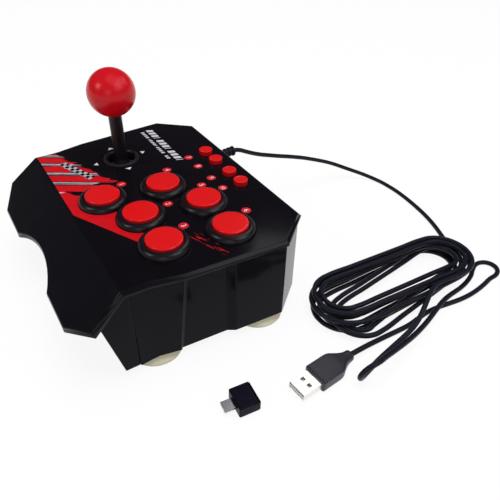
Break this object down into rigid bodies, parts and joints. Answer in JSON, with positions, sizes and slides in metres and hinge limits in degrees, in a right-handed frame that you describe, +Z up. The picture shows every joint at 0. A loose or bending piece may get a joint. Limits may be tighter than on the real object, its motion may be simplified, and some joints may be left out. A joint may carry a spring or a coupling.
{
  "type": "arcade fight stick",
  "caption": "Black tabletop arcade fight stick with ball-top lever, red push buttons and menu keys, suction feet, a hanked USB cable and a loose plug adapter.",
  "frame": {"origin": "centre of the body's footprint, in the plane on which the suction feet stand", "axes": "+X to the user's right, +Y away from the user, +Z up"},
  "size_m": [0.238, 0.2895, 0.1226],
  "materials": {
    "cover_black": "high gloss black plastic",
    "tub_black": "satin gloss black plastic",
    "foot_clear": "clear soft vinyl, a little yellow",
    "red": "glossy red plastic",
    "trim_black": "glossy black plastic",
    "steel": "zinc plated",
    "ivory": "unpainted nylon",
    "hub_red": "moulded nylon",
    "switch_black": "matt",
    "board_green": "solder mask",
    "cord_black": "soft sheen",
    "plug_black": "satin",
    "shell_steel": "nickel plated",
    "tongue_white": "matt"
  },
  "bodies": {
    "base": {"top_cover": "cover_black", "base_tub": "tub_black", "case_screws": "steel", "foot_front_left": "foot_clear", "foot_front_right": "foot_clear", "foot_back_left": "foot_clear", "foot_back_right": "foot_clear", "stick_collar": "trim_black", "stick_housing": "tub_black", "stick_screws": "steel", "gate_plate": "ivory", "gate_screws": "steel", "stick_switches": "switch_black", "button_rim_1": "trim_black", "button_rim_2": "trim_black", "button_rim_3": "trim_black", "button_rim_4": "trim_black", "button_rim_5": "trim_black", "button_rim_6": "trim_black", "button_spring_1": "steel", "button_spring_2": "steel", "button_spring_3": "steel", "button_spring_4": "steel", "button_spring_5": "steel", "button_spring_6": "steel", "button_switches": "switch_black", "main_board": "board_green", "control_chip": "switch_black", "board_screws": "steel", "key_board": "board_green", "key_switches": "switch_black", "inner_leads": "cord_black", "strain_relief": "cord_black", "cord_lead": "cord_black", "cord_hank": "cord_black", "cord_tail": "cord_black", "usb_plug_body": "plug_black", "usb_plug_shell": "shell_steel", "usb_plug_tongue": "tongue_white", "adapter_body": "plug_black", "adapter_plug": "shell_steel"},
    "ring": {"gimbal_ring": "ivory"},
    "lever": {"ball_top": "red", "stick_shaft": "steel", "shaft_sleeve": "trim_black", "dust_cover": "trim_black", "stick_hub": "hub_red", "stick_actuator": "ivory", "stick_spring": "steel", "shaft_clip": "steel"},
    "button_1": {"button_cap_1": "red"},
    "button_2": {"button_cap_2": "red"},
    "button_3": {"button_cap_3": "red"},
    "button_4": {"button_cap_4": "red"},
    "button_5": {"button_cap_5": "red"},
    "button_6": {"button_cap_6": "red"},
    "key_1": {"key_cap_1": "red"},
    "key_2": {"key_cap_2": "red"},
    "key_3": {"key_cap_3": "red"},
    "key_4": {"key_cap_4": "red"}
  },
  "joints": [
    {"name": "lever_tilt_front_back", "type": "hinge", "parent": "base", "child": "ring", "pos_m": [-0.04682, 0.00579, 0.046], "axis": [1, 0, 0], "range_deg": [-11, 11], "stiffness_Nm_per_rad": 0.2},
    {"name": "lever_tilt_left_right", "type": "hinge", "parent": "ring", "child": "lever", "pos_m": [-0.04682, 0.00579, 0.046], "axis": [0, 1, 0], "range_deg": [-11, 11], "stiffness_Nm_per_rad": 0.2},
    {"name": "button_1_press", "type": "slide", "parent": "base", "child": "button_1", "axis": [0, 0, -1], "range_m": [0, 0.002], "stiffness_N_per_m": 200, "springref_m": -0.002, "deforming": ["button_spring_1"]},
    {"name": "button_2_press", "type": "slide", "parent": "base", "child": "button_2", "axis": [0, 0, -1], "range_m": [0, 0.002], "stiffness_N_per_m": 200, "springref_m": -0.002, "deforming": ["button_spring_2"]},
    {"name": "button_3_press", "type": "slide", "parent": "base", "child": "button_3", "axis": [0, 0, -1], "range_m": [0, 0.002], "stiffness_N_per_m": 200, "springref_m": -0.002, "deforming": ["button_spring_3"]},
    {"name": "button_4_press", "type": "slide", "parent": "base", "child": "button_4", "axis": [0, 0, -1], "range_m": [0, 0.002], "stiffness_N_per_m": 200, "springref_m": -0.002, "deforming": ["button_spring_4"]},
    {"name": "button_5_press", "type": "slide", "parent": "base", "child": "button_5", "axis": [0, 0, -1], "range_m": [0, 0.002], "stiffness_N_per_m": 200, "springref_m": -0.002, "deforming": ["button_spring_5"]},
    {"name": "button_6_press", "type": "slide", "parent": "base", "child": "button_6", "axis": [0, 0, -1], "range_m": [0, 0.002], "stiffness_N_per_m": 200, "springref_m": -0.002, "deforming": ["button_spring_6"]},
    {"name": "key_1_press", "type": "slide", "parent": "base", "child": "key_1", "axis": [0, 0, -1], "range_m": [0, 0.0008], "stiffness_N_per_m": 400, "springref_m": -0.001},
    {"name": "key_2_press", "type": "slide", "parent": "base", "child": "key_2", "axis": [0, 0, -1], "range_m": [0, 0.0008], "stiffness_N_per_m": 400, "springref_m": -0.001},
    {"name": "key_3_press", "type": "slide", "parent": "base", "child": "key_3", "axis": [0, 0, -1], "range_m": [0, 0.0008], "stiffness_N_per_m": 400, "springref_m": -0.001},
    {"name": "key_4_press", "type": "slide", "parent": "base", "child": "key_4", "axis": [0, 0, -1], "range_m": [0, 0.0008], "stiffness_N_per_m": 400, "springref_m": -0.001}
  ]
}
